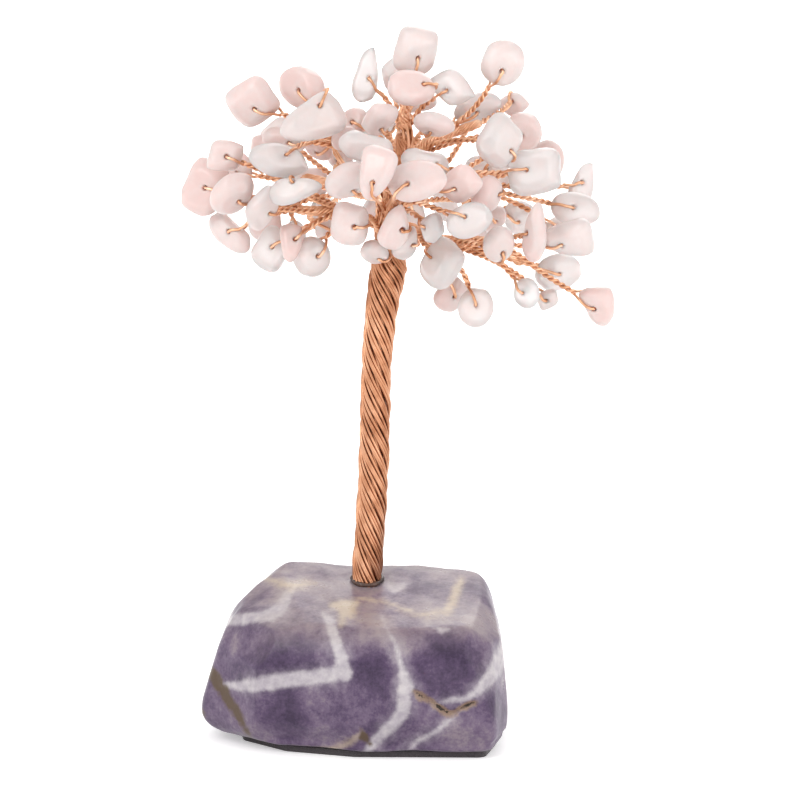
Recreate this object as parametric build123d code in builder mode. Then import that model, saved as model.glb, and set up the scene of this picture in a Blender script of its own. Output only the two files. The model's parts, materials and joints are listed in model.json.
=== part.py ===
from build123d import *

import math
import os

# Gemstone tree ornament: drilled rose quartz chips wired onto a twisted copper tree, which is
# glued into a polished block of banded amethyst that stands on a thin felt pad.
# The origin is the middle of the pad's underside. +Z is up and the tree's front faces -Y.
# Lengths are in millimetres and angles in degrees.

# Felt pad and stone
PAD_THICKNESS = 1.0
PAD_INSET = 0.8
STONE_WIDTH = 53.0
STONE_DEPTH = 37.0
STONE_HEIGHT = 25.4
STONE_CORNER_RADIUS = 2.4
STONE_TOP_TILT = 11.5

# Copper trunk, from the floor of its socket up to the place where the boughs part
SOCKET_DEPTH = 12.0
TRUNK_DIAMETER = 5.0
TRUNK_HEAD_DIAMETER = 6.5
TRUNK_LENGTH = 55.5
TRUNK_LEAN = 4.0
TRUNK_FOOT_X = 2.2
TRUNK_FOOT_Y = 4.0
LAY_LENGTH = 27.0
GLUE_WALL = 0.9
GLUE_RISE = 1.6

# Wire, ropes and the clearances between pieces
WIRE_DIAMETER = 0.5
LEADER_FOOT_DIAMETER = 4.4
LEADER_TIP_DIAMETER = 2.5
BOUGH_ROOT_DIAMETER = 2.3
BOUGH_TIP_DIAMETER = 1.5
FIT_GAP = 0.1
LAY_GAP = 0.2
BOUGH_HINGE_GAP = 0.6
TWIG_HINGE_GAP = 0.3
BINDING_TURNS = 3
BINDING_PITCH = 1.1
BINDING_GAP = 0.3

# Crown, measured from the place where the boughs part
CROWN_REACH = 36.0
CROWN_DEPTH = 27.0
CROWN_RISE = 40.0
SIGHT_ANGLE = 13.0

# Drilled chips and the wire loops that hold them
CHIP_LENGTH = 8.0
CHIP_WIDTH = 6.0
BORE_DIAMETER = 0.85
NECK_LENGTH = 1.5
LOOP_GAP = 0.25
LOOP_CORNER_RADIUS = 0.5

# Outline of the stone at each level, as shares of half its width and half its depth
STONE_LEVEL_SHARES = (
    (0.0, 0.0, ((-0.74, -0.25), (-0.45, -0.64), (0.0, -0.84), (0.86, -0.86), (0.94, -0.40),
                (0.90, 0.62), (0.45, 0.88), (-0.42, 0.86), (-0.80, 0.35))),
    (0.13, 0.0, ((-0.99, -0.20), (-0.62, -0.74), (0.0, -0.95), (0.90, -0.97), (0.99, -0.50),
                 (0.97, 0.70), (0.50, 0.98), (-0.50, 0.96), (-0.94, 0.45))),
    (0.48, 0.15, ((-0.92, -0.22), (-0.62, -0.80), (0.0, -0.99), (0.88, -0.99), (0.985, -0.50),
                  (0.95, 0.66), (0.50, 0.93), (-0.50, 0.92), (-0.88, 0.40))),
    (0.78, 0.55, ((-0.83, -0.22), (-0.60, -0.77), (0.0, -0.96), (0.84, -0.96), (0.95, -0.48),
                  (0.91, 0.56), (0.48, 0.82), (-0.46, 0.80), (-0.79, 0.34))),
    (0.94, 0.85, ((-0.71, -0.19), (-0.53, -0.68), (0.0, -0.87), (0.79, -0.87), (0.89, -0.44),
                  (0.86, 0.50), (0.46, 0.74), (-0.42, 0.72), (-0.68, 0.30))),
    (1.0, 1.0, ((-0.60, -0.16), (-0.46, -0.57), (0.0, -0.76), (0.73, -0.76), (0.82, -0.40),
                (0.79, 0.44), (0.42, 0.66), (-0.38, 0.64), (-0.57, 0.26))),
)

# Sideways bow of the trunk, as shares of its length and of its lean
TRUNK_BOW_SHARES = ((0.25, 0.20), (0.50, 0.34), (0.75, 0.50), (1.0, 1.0))
TRUNK_FLARE_SHARE = 0.75

# Route of the leader, the rope that goes on upwards from the trunk: across, up and depth shares
LEADER_ROUTE_SHARES = ((-0.028, 0.11, 0.0), (0.055, 0.36, 0.0), (0.063, 0.55, 0.0))
BINDING_PLACE_SHARE = 0.02

# Boughs: the share of the leader's length at the root, and the compass angle there
BOUGH_ROOTS = {
    "left_low": (0.30, 180),
    "left_high": (0.72, 185),
    "top": (1.0, 0),
    "right_high": (0.86, 15),
    "right_mid": (0.60, -10),
    "right_low": (0.29, -8),
    "front": (0.42, -90),
    "back_left": (0.45, 128),
    "back_right": (0.47, 50),
    "back": (0.93, 92),
}
BOUGH_ROUTE_SHARES = {
    "left_low": ((-0.21, 0.22, -0.12), (-0.36, 0.215, -0.14), (-0.50, 0.235, -0.10)),
    "left_high": ((-0.10, 0.47, -0.03), (-0.236, 0.533, -0.05), (-0.40, 0.60, -0.05)),
    "top": ((0.068, 0.66, -0.02), (0.085, 0.73, -0.02)),
    "right_high": ((0.16, 0.50, 0.05), (0.284, 0.555, 0.06), (0.43, 0.60, 0.06)),
    "right_mid": ((0.20, 0.37, -0.12), (0.34, 0.33, -0.16), (0.46, 0.31, -0.165)),
    "right_low": ((0.19, 0.096, -0.14), (0.369, 0.087, -0.2), (0.525, 0.061, -0.18), (0.62, -0.02, -0.12)),
    "front": ((0.02, 0.25, -0.30), (0.04, 0.27, -0.58)),
    "back_left": ((-0.15, 0.30, 0.30), (-0.30, 0.35, 0.50), (-0.42, 0.38, 0.60)),
    "back_right": ((0.19, 0.32, 0.30), (0.36, 0.35, 0.48), (0.48, 0.37, 0.58)),
    "back": ((0.05, 0.54, 0.28), (0.03, 0.50, 0.52), (0.0, 0.46, 0.70)),
}

# Outlines of a chip, as shares of half its length and half its width
OVAL_SHARES = ((1.0, 0.0), (0.62, 0.78), (-0.1, 1.0), (-0.75, 0.68),
               (-1.0, 0.0), (-0.7, -0.75), (0.05, -1.0), (0.7, -0.7))
WEDGE_SHARES = ((1.0, 0.2), (0.72, 0.95), (0.0, 0.8), (-0.75, 0.45),
                (-1.0, -0.05), (-0.7, -0.5), (0.1, -0.85), (0.82, -0.8))
RHOMB_SHARES = ((1.0, 0.0), (0.45, 0.7), (-0.15, 1.0), (-0.7, 0.5),
                (-1.0, -0.1), (-0.4, -0.75), (0.2, -1.0), (0.7, -0.55))
BLOCK_SHARES = ((0.98, 0.1), (0.85, 0.78), (0.1, 0.95), (-0.78, 0.82),
                (-1.0, 0.1), (-0.82, -0.78), (0.0, -1.0), (0.82, -0.82))
BEAN_SHARES = ((1.0, -0.15), (0.7, 0.6), (0.05, 0.72), (-0.6, 0.9),
               (-1.0, 0.2), (-0.75, -0.6), (0.0, -1.0), (0.75, -0.85))
SPINDLE_SHARES = ((1.0, 0.0), (0.6, 0.55), (0.0, 0.85), (-0.6, 1.0),
                  (-1.0, 0.3), (-0.9, -0.6), (-0.2, -1.0), (0.6, -0.6))

# Sections of a chip from one face to the other, as shares of its thickness and of its outline
CHIP_SECTION_SHARES = ((-0.5, 0.55), (-0.3, 0.87), (-0.03, 1.0), (0.27, 0.9), (0.5, 0.58))
CHIP_THICKNESS_SHARE = 0.58
CHIP_SLANT_SHARE = 0.12
BORE_PLACE_SHARE = 0.2
RIM_BORE_SHARE = 0.4
FACING_PLACE_SHARE = 0.6
FACING_SHARE = 0.7
LOOP_SHOULDER_SHARE = 0.92
LOOP_LEAD_SHARE = 0.45

# Twigs leave their bough near the fork angle, with room between them and past other chips, and
# bend away from it by a share of the angle between them, up to a limit
FORK_ANGLE = 50.0
FORK_CHOICE_SHARES = [0.25 + 0.05 * step for step in range(16)]
TWIG_SAMPLE_SHARES = [0.1 * step for step in range(11)]
TWIG_ROOM = 1.6
BOUGH_ROOM = 1.8
CHIP_ROOM = 5.0
CROWDING_ANGLE = 60.0
TWIG_BEND_SHARE = 0.5
TWIG_BEND_LIMIT = 35.0
ROLL_SWING = 24.0
ROLL_STEP = 137.5
BACK_FACING_SHARE = 0.33

# Chips of each bough: across, up and depth shares of the chip's middle, shares of its length and
# width, the angle that its length lies at, seen from the front, and its outline
CHIP_SHARES = {
    "inner": (
        (-0.061, 0.594, -0.42, 0.90, 0.92, 70, WEDGE_SHARES),
        (-0.175, 0.603, 0.25, 0.70, 0.83, 45, OVAL_SHARES),
        (-0.213, 0.524, -0.20, 0.70, 0.83, 120, RHOMB_SHARES),
        (0.203, 0.581, -0.40, 0.85, 0.85, 15, OVAL_SHARES),
        (0.161, 0.419, -0.45, 1.05, 0.80, 0, BEAN_SHARES),
        (-0.190, 0.153, -0.50, 0.88, 1.03, 85, BLOCK_SHARES),
        (-0.075, 0.035, -0.40, 0.70, 0.77, 100, OVAL_SHARES),
        (0.075, 0.074, -0.42, 0.78, 0.67, 80, SPINDLE_SHARES),
    ),
    "left_low": (
        (-0.775, 0.454, -0.12, 0.85, 0.95, 30, RHOMB_SHARES),
        (-0.875, 0.323, 0.10, 1.15, 1.15, 70, BLOCK_SHARES),
        (-0.738, 0.288, -0.30, 1.02, 1.10, 60, OVAL_SHARES),
        (-0.757, 0.127, 0.10, 1.12, 0.83, -20, BEAN_SHARES),
        (-0.600, 0.220, -0.38, 1.05, 0.95, 85, RHOMB_SHARES),
        (-0.440, 0.298, -0.54, 1.10, 0.77, 5, SPINDLE_SHARES),
        (-0.558, 0.052, -0.05, 0.88, 1.00, 60, BLOCK_SHARES),
        (-0.369, 0.017, -0.20, 0.85, 1.05, 120, OVAL_SHARES),
        (-0.463, 0.074, -0.30, 0.80, 0.73, 80, WEDGE_SHARES),
        (-0.298, 0.160, 0.30, 0.65, 0.75, 45, RHOMB_SHARES),
    ),
    "left_high": (
        (-0.416, 0.755, 0.20, 1.08, 1.13, 165, OVAL_SHARES),
        (-0.364, 0.594, -0.45, 1.38, 1.27, 25, WEDGE_SHARES),
        (-0.492, 0.528, 0.0, 0.92, 0.83, 10, BEAN_SHARES),
        (-0.600, 0.500, 0.30, 0.68, 0.80, 40, RHOMB_SHARES),
        (-0.520, 0.428, -0.35, 1.30, 0.95, 5, OVAL_SHARES),
        (-0.340, 0.493, 0.30, 0.65, 0.70, 0, OVAL_SHARES),
    ),
    "top": (
        (0.118, 0.908, 0.0, 1.00, 1.20, 80, BLOCK_SHARES),
        (0.095, 0.738, -0.30, 1.05, 1.00, 10, OVAL_SHARES),
        (0.288, 0.747, -0.12, 0.98, 0.97, -15, RHOMB_SHARES),
    ),
    "right_high": (
        (0.411, 0.668, 0.22, 1.05, 0.83, 8, OVAL_SHARES),
        (0.585, 0.690, 0.46, 0.65, 0.70, 0, RHOMB_SHARES),
        (0.624, 0.563, 0.20, 0.85, 1.07, 90, OVAL_SHARES),
        (0.506, 0.511, -0.35, 1.00, 1.27, 45, BLOCK_SHARES),
    ),
    "right_mid": (
        (0.671, 0.384, -0.22, 1.12, 1.27, 10, BLOCK_SHARES),
        (0.449, 0.279, -0.42, 0.80, 1.00, 45, OVAL_SHARES),
        (0.870, 0.227, -0.02, 1.05, 0.90, -10, OVAL_SHARES),
        (0.487, 0.188, 0.15, 0.65, 0.75, 60, RHOMB_SHARES),
    ),
    "right_low": (
        (0.740, -0.165, -0.06, 0.56, 0.60, 60, RHOMB_SHARES),
        (0.671, 0.118, -0.50, 1.20, 0.77, 88, SPINDLE_SHARES),
        (0.832, 0.096, -0.30, 1.05, 1.17, 10, WEDGE_SHARES),
        (0.794, -0.044, 0.16, 1.05, 1.03, -5, OVAL_SHARES),
        (0.505, 0.066, -0.54, 0.75, 0.90, 90, OVAL_SHARES),
        (0.638, -0.140, -0.26, 0.65, 0.73, 80, OVAL_SHARES),
        (0.288, -0.144, 0.05, 0.75, 0.90, 50, BLOCK_SHARES),
        (0.241, -0.013, -0.35, 1.00, 1.23, 60, BLOCK_SHARES),
    ),
    "front": (
        (0.120, 0.330, -0.82, 1.20, 1.10, 10, OVAL_SHARES),
        (-0.199, 0.336, -0.68, 1.02, 1.12, 80, OVAL_SHARES),
        (-0.066, 0.358, -0.97, 1.08, 1.08, 75, WEDGE_SHARES),
        (-0.113, 0.480, -0.62, 1.12, 0.92, -10, BEAN_SHARES),
        (0.022, 0.138, -0.62, 0.95, 0.83, 80, SPINDLE_SHARES),
        (0.195, 0.135, -0.62, 0.70, 0.80, 60, RHOMB_SHARES),
        (0.365, 0.165, -0.72, 0.95, 0.93, 20, OVAL_SHARES),
        (0.326, 0.323, -0.62, 0.85, 0.95, 45, BLOCK_SHARES),
    ),
    "back_left": (
        (-0.74, 0.40, 0.52, 0.90, 1.00, 60, OVAL_SHARES),
        (-0.52, 0.57, 0.52, 1.00, 0.90, 20, RHOMB_SHARES),
        (-0.60, 0.20, 0.52, 1.00, 1.00, 100, BLOCK_SHARES),
        (-0.34, 0.64, 0.62, 0.85, 0.90, 50, OVAL_SHARES),
        (-0.42, 0.36, 0.82, 1.10, 1.00, 10, WEDGE_SHARES),
        (-0.24, 0.50, 0.86, 0.90, 0.90, 80, BEAN_SHARES),
        (-0.46, 0.10, 0.42, 0.90, 0.80, 70, OVAL_SHARES),
        (-0.28, 0.22, 0.74, 0.95, 0.90, -20, SPINDLE_SHARES),
    ),
    "back_right": (
        (0.74, 0.44, 0.42, 1.00, 1.05, 70, OVAL_SHARES),
        (0.58, 0.56, 0.62, 0.90, 0.95, 20, WEDGE_SHARES),
        (0.62, 0.20, 0.62, 1.05, 0.95, 110, OVAL_SHARES),
        (0.40, 0.66, 0.58, 0.85, 0.80, 40, RHOMB_SHARES),
        (0.47, 0.40, 0.80, 1.10, 1.10, 15, BLOCK_SHARES),
        (0.27, 0.28, 0.84, 0.95, 0.85, 80, BEAN_SHARES),
        (0.80, 0.14, 0.32, 0.85, 0.90, 60, RHOMB_SHARES),
        (0.38, 0.14, 0.62, 0.90, 0.95, 120, OVAL_SHARES),
    ),
    "back": (
        (-0.06, 0.62, 0.80, 1.00, 1.00, 75, OVAL_SHARES),
        (0.12, 0.72, 0.58, 0.90, 0.90, 30, BLOCK_SHARES),
        (-0.10, 0.40, 0.98, 1.00, 0.95, 10, OVAL_SHARES),
        (0.08, 0.48, 0.98, 0.90, 0.90, 85, WEDGE_SHARES),
        (0.22, 0.58, 0.74, 0.85, 0.80, 45, RHOMB_SHARES),
        (-0.06, 0.24, 0.82, 1.00, 0.90, 60, BEAN_SHARES),
        (0.10, 0.22, 0.68, 0.85, 0.80, 100, OVAL_SHARES),
        (0.02, 0.82, 0.40, 0.80, 0.85, 80, RHOMB_SHARES),
    ),
}

# Chips on twigs that stand clear enough to be bent by themselves, with the bough that each leaves
FREE_CHIP_SHARES = {
    "left_crest": ("left_high", (-0.648, 0.690, 0.05, 1.04, 1.27, 40, BLOCK_SHARES)),
    "top_spindle": ("top", (-0.113, 0.808, 0.05, 1.15, 0.70, 82, SPINDLE_SHARES)),
    "right_crest": ("right_high", (0.525, 0.856, 0.0, 0.96, 1.20, 70, OVAL_SHARES)),
    "right_wing": ("right_mid", (0.908, 0.341, 0.18, 1.05, 0.68, 62, SPINDLE_SHARES)),
    "right_pendant": ("right_low", (0.983, -0.197, -0.15, 0.88, 1.03, 100, WEDGE_SHARES)),
    "middle_pendant": ("right_low", (0.402, -0.200, -0.20, 0.83, 0.97, 80, OVAL_SHARES)),
}

# How finely curved axes are followed
CORE_STATIONS = 12
ROPE_STAGES = 4
ARCS_PER_TURN = 4
TANGENT_STEP_SHARE = 0.002
STAGE_MARGIN_SHARE = 0.06
RIM_ROUNDS = 3
CLEARANCE_POINTS = 8
GAP_POINTS = 400
UP = Vector(0, 0, 1)
FRONT = Vector(0, -1, 0)

# Worked out from the sizes above
WIRE_RADIUS = WIRE_DIAMETER / 2
STONE_TOP = PAD_THICKNESS + STONE_HEIGHT
SOCKET_FLOOR = STONE_TOP - SOCKET_DEPTH
SOCKET_RADIUS = TRUNK_DIAMETER / 2 + GLUE_WALL
TRUNK_FOOT = Vector(TRUNK_FOOT_X, TRUNK_FOOT_Y, STONE_TOP)
PAIR_OFFSET = WIRE_RADIUS + FIT_GAP / 2


def stone_corners(corner_shares):
    """Corners of the stone at one level, in the plane of that level."""
    return [(x * STONE_WIDTH / 2, y * STONE_DEPTH / 2) for x, y in corner_shares]


def stone_plane(level_share, tilt_share):
    """Plane of one level of the stone: the top levels lean towards the front about the trunk's foot."""
    pivot = Plane((0, TRUNK_FOOT_Y, PAD_THICKNESS + level_share * STONE_HEIGHT))
    leaned = pivot.rotated((tilt_share * STONE_TOP_TILT, 0, 0))
    return Plane(leaned.origin - leaned.y_dir * TRUNK_FOOT_Y, leaned.x_dir, leaned.z_dir)


def trunk_line():
    """Axis of the trunk, from the floor of its socket to the place where the boughs part."""
    heights = [(share * TRUNK_LENGTH, bow * TRUNK_LEAN) for share, bow in TRUNK_BOW_SHARES]
    with BuildLine() as line:
        Spline(
            TRUNK_FOOT - UP * (SOCKET_DEPTH - LAY_GAP),
            TRUNK_FOOT,
            *[TRUNK_FOOT + Vector(bow, 0, height) for height, bow in heights],
        )
    return line.edge()


def strand_circle_radius(share):
    """Radius of the circle that the strands' middles lie on, which flares at the head of the trunk."""
    swell = max(0, (share - TRUNK_FLARE_SHARE) / (1 - TRUNK_FLARE_SHARE))
    diameter = TRUNK_DIAMETER + (TRUNK_HEAD_DIAMETER - TRUNK_DIAMETER) * swell**2
    return (diameter - WIRE_DIAMETER) / 2


def biarcs(points, headings):
    """Unbroken line of tangent arcs, two from each point to the next."""
    with BuildLine() as line:
        for n in range(len(points) - 1):
            span = points[n + 1] - points[n]
            lean = span.dot(headings[n] + headings[n + 1])
            spread = 2 - 2 * headings[n].dot(headings[n + 1])
            reach = span.length**2 / (math.sqrt(lean**2 + spread * span.length**2) + lean)
            start_arm = points[n] + headings[n] * reach
            end_arm = points[n + 1] - headings[n + 1] * reach
            middle = (start_arm + end_arm) / 2
            TangentArc(points[n], middle, tangent=headings[n])
            TangentArc(middle, points[n + 1], tangent=end_arm - start_arm)
    return line.wire()


def winding_line(place, arcs):
    """Arcs along a winding whose middle at each share of its length is place(share)."""
    shares = [n / arcs for n in range(arcs + 1)]
    headings = [
        (place(share + TANGENT_STEP_SHARE) - place(share - TANGENT_STEP_SHARE)).normalized()
        for share in shares
    ]
    return biarcs([place(share) for share in shares], headings)


def wire_tube(path):
    """Round wire of the tree's gauge along a path."""
    with BuildPart() as tube:
        with BuildSketch(Plane(path @ 0, z_dir=path % 0)):
            Circle(WIRE_RADIUS)
        sweep(path=path)
    return tube.part


def stepped_rope(axis, radius_at):
    """Rope that thins in stages as its wires leave it."""
    with BuildPart() as rope:
        for stage in range(ROPE_STAGES):
            shares = [(stage + step / 2) / ROPE_STAGES for step in range(3)]
            path = biarcs([axis @ share for share in shares], [axis % share for share in shares])
            with BuildSketch(Plane(path @ 0, z_dir=path % 0)):
                Circle(radius_at(shares[1]))
            sweep(path=path)
    return rope.part


def stage_share(share):
    """Middle of the stage of a rope that a share of its length lies in, or lies just past."""
    stage = int(max(0, share - STAGE_MARGIN_SHARE) * ROPE_STAGES)
    return (stage + 1 / 2) / ROPE_STAGES


def crown_point(across_share, up_share, depth_share):
    """Place in the crown, from shares seen from the front at the sight angle."""
    depth = depth_share * CROWN_DEPTH
    drop = depth * math.tan(math.radians(SIGHT_ANGLE))
    return crown_origin + Vector(across_share * CROWN_REACH, depth, up_share * CROWN_RISE - drop)


def leader_radius(share):
    """Radius of the leader at a share of its length, thick at the foot and slim above."""
    swell = (1 - stage_share(share)) ** 3
    return (LEADER_TIP_DIAMETER + (LEADER_FOOT_DIAMETER - LEADER_TIP_DIAMETER) * swell) / 2


def bough_radius(share):
    """Radius of a bough at a share of its length."""
    thinning = stage_share(share)
    return (BOUGH_ROOT_DIAMETER + (BOUGH_TIP_DIAMETER - BOUGH_ROOT_DIAMETER) * thinning) / 2


def bough_line(name):
    """Axis of one bough, from its bending place beside the leader along its route."""
    place, compass = BOUGH_ROOTS[name]
    upwards = leader_axis % place
    level = Vector(math.cos(math.radians(compass)), math.sin(math.radians(compass)), 0)
    out = (level - upwards * level.dot(upwards)).normalized() if place < 1 else upwards
    root = leader_axis @ place + out * BOUGH_HINGE_GAP
    if place < 1:
        root += out * leader_radius(place)
    route = [crown_point(*shares) for shares in BOUGH_ROUTE_SHARES[name]]
    with BuildLine() as line:
        Spline(root, *route, tangents=[out, route[-1] - route[-2]])
    return line.edge()


def twig_start(axis, radius_at, gap, middle, share):
    """Place beside a bough where a twig for a chip would leave it, at a share of the bough's length."""
    along = axis % share
    aside = middle - axis @ share
    aside = (aside - along * aside.dot(along)).normalized()
    return axis @ share + aside * (radius_at(share) + WIRE_RADIUS + gap)


def twig_corner(start, along, middle, reach):
    """Where a twig's way out meets its way in to the chip, with the same run before and after its arc."""
    span = middle - start
    bend = min(TWIG_BEND_LIMIT, TWIG_BEND_SHARE * span.get_angle(along))
    way_out = span.normalized().rotate(Axis((0, 0, 0), along.cross(span)), -bend)
    run = (span.length**2 - reach**2) / (2 * (span.dot(way_out) + reach))
    return start + way_out * run


def twig_way(start, along, middle, reach):
    """Places along the curve of a twig up to its chip, for keeping it apart from others."""
    corner = twig_corner(start, along, middle, reach)
    neck = middle - (middle - corner).normalized() * reach
    return [
        tuple(start * (1 - share) ** 2 + corner * (2 * share * (1 - share)) + neck * share**2)
        for share in TWIG_SAMPLE_SHARES
    ]


def crowding(points, others, room):
    """How far some points lie inside the room that others need, added up."""
    return sum(max(0, 1 - math.dist(point, other) / room) for point in points for other in others)


def twig_fork(axis, radius_at, gap, middle, reach, taken):
    """Share of a bough's length where a twig leaves: near the fork angle, with room all the way."""
    other_chips = [other for other in chip_middles if math.dist(other, middle) > WIRE_RADIUS]
    own_bough = [tuple(axis @ share) for share in FORK_CHOICE_SHARES]

    def strain(share):
        start = twig_start(axis, radius_at, gap, middle, share)
        way = twig_way(start, axis % share, middle, reach)
        crowd = crowding(way, taken, TWIG_ROOM) + crowding(way[1:], own_bough, BOUGH_ROOM)
        crowd += crowding(way, other_chips, CHIP_ROOM) + crowding([start], [middle], reach + NECK_LENGTH)
        return abs((middle - start).get_angle(axis % share) - FORK_ANGLE) + CROWDING_ANGLE * crowd

    return min(FORK_CHOICE_SHARES, key=strain)


def lying_plane(middle, lie, normal):
    """Plane of a chip with a given normal, whose length lies at an angle seen from the front."""
    length_way = Vector(math.cos(math.radians(lie)), 0, math.sin(math.radians(lie)))
    return Plane(middle, length_way - normal * length_way.dot(normal), normal)


def outline_reach(face, outline, way):
    """How far a chip's outline reaches in one direction from its middle."""
    return max((face.x_dir * x + face.y_dir * y).dot(way) for x, y in outline)


def loop_over_edge(start, along, middle, outline, lie, thickness, outward, roll):
    """Plane, bore and wire of a chip whose edge meets the twig: the wire runs over both its faces."""
    rim = outline_reach(Plane.XY, outline, Vector(1, 0, 0))
    for _ in range(RIM_ROUNDS):
        corner = twig_corner(start, along, middle, rim + NECK_LENGTH)
        heading = (middle - corner).normalized()
        bore = (outward - heading * outward.dot(heading)).normalized()
        face = lying_plane(middle, lie, bore.rotate(Axis((0, 0, 0), heading), roll))
        rim = outline_reach(face, outline, heading * -1)
    hole = middle - heading * (rim * BORE_PLACE_SHARE)
    near_rim = rim * (1 - BORE_PLACE_SHARE)
    neck = hole - heading * (near_rim + NECK_LENGTH)
    across_twig = along.cross(middle - start).normalized()
    side = across_twig * (PAIR_OFFSET if across_twig.dot(face.z_dir) >= 0 else -PAIR_OFFSET)
    lead = heading * (NECK_LENGTH * LOOP_LEAD_SHARE)
    shoulder = heading * (near_rim * LOOP_SHOULDER_SHARE)
    lift = face.z_dir * (thickness / 2 + WIRE_RADIUS + LOOP_GAP)
    loop = [
        neck + side,
        neck + side + lead,
        hole - shoulder + lift,
        hole + lift,
        hole - lift,
        hole - shoulder - lift,
        neck - side + lead,
        neck - side,
    ]
    return face, hole, heading, side, loop


def loop_round_rim(start, along, middle, outline, lie, thickness):
    """Plane, bore and wire of a chip whose back meets the twig: the wire goes through and round it."""
    aim = middle
    for _ in range(RIM_ROUNDS):
        heading = (aim - twig_corner(start, along, aim, thickness / 2 + NECK_LENGTH)).normalized()
        rimward = along.cross(aim - start).normalized()
        face = lying_plane(middle, lie, heading)
        rim = outline_reach(face, outline, rimward)
        hole = middle + rimward * (rim * RIM_BORE_SHARE)
        aim = hole + rimward * PAIR_OFFSET
    neck = aim - heading * (thickness / 2 + NECK_LENGTH)
    side = rimward * -PAIR_OFFSET
    lead = heading * (NECK_LENGTH * LOOP_LEAD_SHARE)
    lift = heading * (thickness / 2 + WIRE_RADIUS + LOOP_GAP)
    past_rim = hole + rimward * (rim * (1 - RIM_BORE_SHARE) + WIRE_RADIUS + LOOP_GAP)
    loop = [
        neck + side,
        hole + lift,
        past_rim + lift,
        past_rim - lift,
        neck - side + lead,
        neck - side,
    ]
    return face, hole, heading, side, loop


def chip_on_twig(axis, radius_at, gap, row, count, taken):
    """One drilled chip, the folded wire that holds it, and the place where the wire leaves the bough.

    The wire's way is added to those taken."""
    across, up, depth, long, broad, lie, outline_shares = row
    middle = crown_point(across, up, depth)
    half_length = long * CHIP_LENGTH / 2
    half_width = broad * CHIP_WIDTH / 2
    thickness = broad * CHIP_WIDTH * CHIP_THICKNESS_SHARE
    outline = [(x * half_length, y * half_width) for x, y in outline_shares]

    # A chip in front of its bough, or behind it, is met at its back and shows its face
    outward = FRONT * -1 if depth > BACK_FACING_SHARE else FRONT
    facing = (middle - axis @ FACING_PLACE_SHARE).normalized().dot(outward) > FACING_SHARE
    reach = (thickness / 2 if facing else half_length) + NECK_LENGTH
    fork = twig_fork(axis, radius_at, gap, middle, reach, taken)
    start = twig_start(axis, radius_at, gap, middle, fork)
    along = axis % fork
    taken.extend(twig_way(start, along, middle, reach))
    if facing:
        face, hole, heading, side, loop = loop_round_rim(start, along, middle, outline, lie, thickness)
    else:
        roll = ROLL_SWING * math.sin(math.radians(count * ROLL_STEP))
        face, hole, heading, side, loop = loop_over_edge(
            start, along, middle, outline, lie, thickness, outward, roll
        )
    slant = CHIP_SLANT_SHARE * math.sin(math.radians(count * ROLL_STEP / 2))

    with BuildPart() as chip:
        for level_share, spread_share in CHIP_SECTION_SHARES:
            shift = slant * level_share * half_length
            section = [(x * spread_share + shift, y * spread_share) for x, y in outline]
            with BuildSketch(face.offset(level_share * thickness)):
                with BuildLine():
                    Spline(section, periodic=True)
                make_face()
        loft()
        with Locations(Plane(hole, face.x_dir, face.z_dir)):
            Hole(BORE_DIAMETER / 2)

    # The wire runs out along the twig, round its loop and back beside itself
    bow = TangentArc(loop[0] - side, start, tangent=heading * -1)
    with BuildLine() as path:
        ThreePointArc(start + side, bow @ 0.5 + side, loop[0])
        FilletPolyline(*loop, radius=LOOP_CORNER_RADIUS)
        ThreePointArc(loop[-1], bow @ 0.5 - side, start - side)
    return chip.part, wire_tube(path.wire()), start


def save(shape, name):
    """Label one finished piece and write it."""
    shape.label = name
    export_step(shape, f"parts/{name}.step")


def save_group(solids, name):
    """Write the separate solids of one group as a single piece."""
    save(Compound(children=[solid for shape in solids for solid in shape.solids()]), name)


os.makedirs("parts", exist_ok=True)

# Felt pad under the stone
with BuildPart() as felt_pad:
    with BuildSketch():
        with BuildLine():
            FilletPolyline(stone_corners(STONE_LEVEL_SHARES[0][2]), radius=STONE_CORNER_RADIUS, close=True)
        make_face()
        offset(amount=-PAD_INSET, mode=Mode.REPLACE)
    extrude(amount=PAD_THICKNESS)
save(felt_pad.part, "felt_pad")

# Amethyst block with the socket that the trunk is glued into
with BuildPart() as base_stone:
    for level_share, tilt_share, corner_shares in STONE_LEVEL_SHARES:
        with BuildSketch(stone_plane(level_share, tilt_share)):
            with BuildLine():
                FilletPolyline(stone_corners(corner_shares), radius=STONE_CORNER_RADIUS, close=True)
            make_face()
    loft()
    with BuildSketch(Plane((TRUNK_FOOT_X, TRUNK_FOOT_Y, SOCKET_FLOOR))):
        Circle(SOCKET_RADIUS)
    extrude(amount=SOCKET_DEPTH + SOCKET_RADIUS, mode=Mode.SUBTRACT)
save(base_stone.part, "base_stone")

# Hardened glue between the trunk and its socket, drawn up round the foot of the trunk
with BuildPart() as epoxy_collar:
    with BuildSketch(Plane.XZ.offset(-TRUNK_FOOT_Y)):
        with BuildLine():
            inner = TRUNK_FOOT_X + TRUNK_DIAMETER / 2 + LAY_GAP
            outer = TRUNK_FOOT_X + SOCKET_RADIUS - FIT_GAP
            Polyline(
                (inner, SOCKET_FLOOR + FIT_GAP),
                (outer, SOCKET_FLOOR + FIT_GAP),
                (outer, STONE_TOP),
                ((inner + outer) / 2, STONE_TOP + GLUE_RISE),
                (inner, STONE_TOP + GLUE_RISE),
                close=True,
            )
        make_face()
    revolve(axis=Axis((TRUNK_FOOT_X, TRUNK_FOOT_Y, 0), (0, 0, 1)))
save(epoxy_collar.part, "epoxy_collar")

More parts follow.
